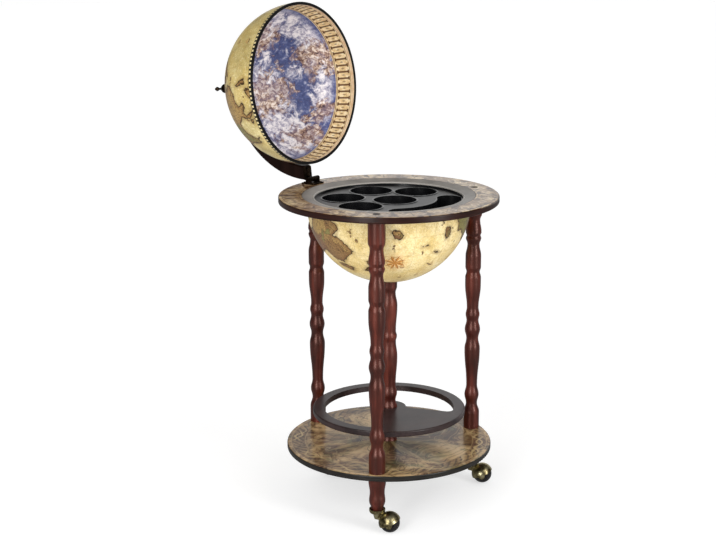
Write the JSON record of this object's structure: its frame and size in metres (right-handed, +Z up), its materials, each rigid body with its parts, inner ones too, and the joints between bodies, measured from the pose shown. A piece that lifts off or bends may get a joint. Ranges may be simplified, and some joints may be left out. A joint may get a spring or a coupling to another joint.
{
  "type": "floor globe bar",
  "caption": "Floor-standing globe bar: turned legs on ball casters carry a shelf, a bottle rack and a table ring with a globe whose upper half swings open on a meridian arm.",
  "frame": {"origin": "on the floor under the axis of the globe", "axes": "+Z up, +Y towards the hinge of the lid (the back), +X to the right seen from the front"},
  "size_m": [0.4419, 0.687, 1.0124],
  "materials": {
    "walnut": "red-brown gloss lacquer",
    "printed_board": "antique print under lacquer, dark edge",
    "black_board": "charcoal satin paint",
    "map_shell": "antique map print under satin varnish",
    "sky_lining": "printed sky",
    "black_trim": "satin",
    "grey_liner": "grey flange, black deck",
    "black_pocket": "gloss black",
    "dark_wood": "near-black gloss lacquer",
    "dark_bronze": "dark antique bronze",
    "dark_cap": "satin",
    "steel": "zinc plated",
    "antique_brass": "antique brass",
    "caster_steel": "plain",
    "black_ball": "satin black"
  },
  "bodies": {
    "stand": {"bottom_shelf": "printed_board", "leg_studs": "steel", "leg_bolts": "steel", "bolt_caps": "dark_cap", "table_ring": "printed_board", "column_lower": "walnut", "column_upper": "walnut", "bottle_rack": "black_board", "column_rod": "steel", "rod_washer": "steel", "rod_nut": "steel", "bowl_shell": "map_shell", "bowl_screws": "steel", "bowl_seat_screw": "steel", "bar_liner": "grey_liner", "liner_deck": "grey_liner", "bottle_wells": "black_pocket", "liner_trough": "black_pocket", "hinge_base": "dark_bronze", "hinge_pin": "dark_bronze", "hinge_base_screws": "dark_bronze", "leg_back": "walnut", "foot_back": "walnut", "caster_cup_back": "antique_brass", "caster_sleeve_back": "caster_steel", "leg_left": "walnut", "foot_left": "walnut", "caster_cup_left": "antique_brass", "caster_sleeve_left": "caster_steel", "leg_right": "walnut", "foot_right": "walnut", "caster_cup_right": "antique_brass", "caster_sleeve_right": "caster_steel"},
    "lid_arm": {"hinge_leaf": "dark_bronze", "hinge_leaf_screws": "dark_bronze", "meridian_arm": "dark_wood", "pole_spacer": "dark_bronze", "pole_washer": "steel", "pole_bolt": "steel", "finial": "dark_bronze"},
    "lid": {"lid_shell": "map_shell", "lid_lining": "sky_lining", "lid_rim": "black_trim"},
    "caster_swivel_back": {"caster_stem_back": "caster_steel", "caster_hood_back": "antique_brass", "caster_axle_back": "antique_brass"},
    "caster_roll_back": {"caster_wheel_back": "black_ball"},
    "caster_swivel_left": {"caster_stem_left": "caster_steel", "caster_hood_left": "antique_brass", "caster_axle_left": "antique_brass"},
    "caster_roll_left": {"caster_wheel_left": "black_ball"},
    "caster_swivel_right": {"caster_stem_right": "caster_steel", "caster_hood_right": "antique_brass", "caster_axle_right": "antique_brass"},
    "caster_roll_right": {"caster_wheel_right": "black_ball"}
  },
  "joints": [
    {"name": "lid_hinge", "type": "hinge", "parent": "stand", "child": "lid_arm", "pos_m": [0, 0.197, 0.6515], "axis": [1, 0, 0], "range_deg": [0, 97]},
    {"name": "lid_spin", "type": "hinge", "parent": "lid_arm", "child": "lid", "pos_m": [0, 0.21356, 0.84795], "axis": [0, 0.9925, -0.1219], "continuous": true},
    {"name": "caster_swivel_back", "type": "hinge", "parent": "stand", "child": "caster_swivel_back", "pos_m": [0, 0.19, 0.0385], "axis": [0, 0, 1], "continuous": true},
    {"name": "caster_roll_back", "type": "hinge", "parent": "caster_swivel_back", "child": "caster_roll_back", "pos_m": [0.0125, 0.16835, 0.02], "axis": [0.866, 0.5, 0], "continuous": true},
    {"name": "caster_swivel_left", "type": "hinge", "parent": "stand", "child": "caster_swivel_left", "pos_m": [-0.16454, -0.095, 0.0385], "axis": [0, 0, 1], "continuous": true},
    {"name": "caster_roll_left", "type": "hinge", "parent": "caster_swivel_left", "child": "caster_roll_left", "pos_m": [-0.15205, -0.11665, 0.02], "axis": [0.866, 0.5, 0], "continuous": true},
    {"name": "caster_swivel_right", "type": "hinge", "parent": "stand", "child": "caster_swivel_right", "pos_m": [0.16454, -0.095, 0.0385], "axis": [0, 0, 1], "continuous": true},
    {"name": "caster_roll_right", "type": "hinge", "parent": "caster_swivel_right", "child": "caster_roll_right", "pos_m": [0.17705, -0.11665, 0.02], "axis": [0.866, 0.5, 0], "continuous": true}
  ]
}
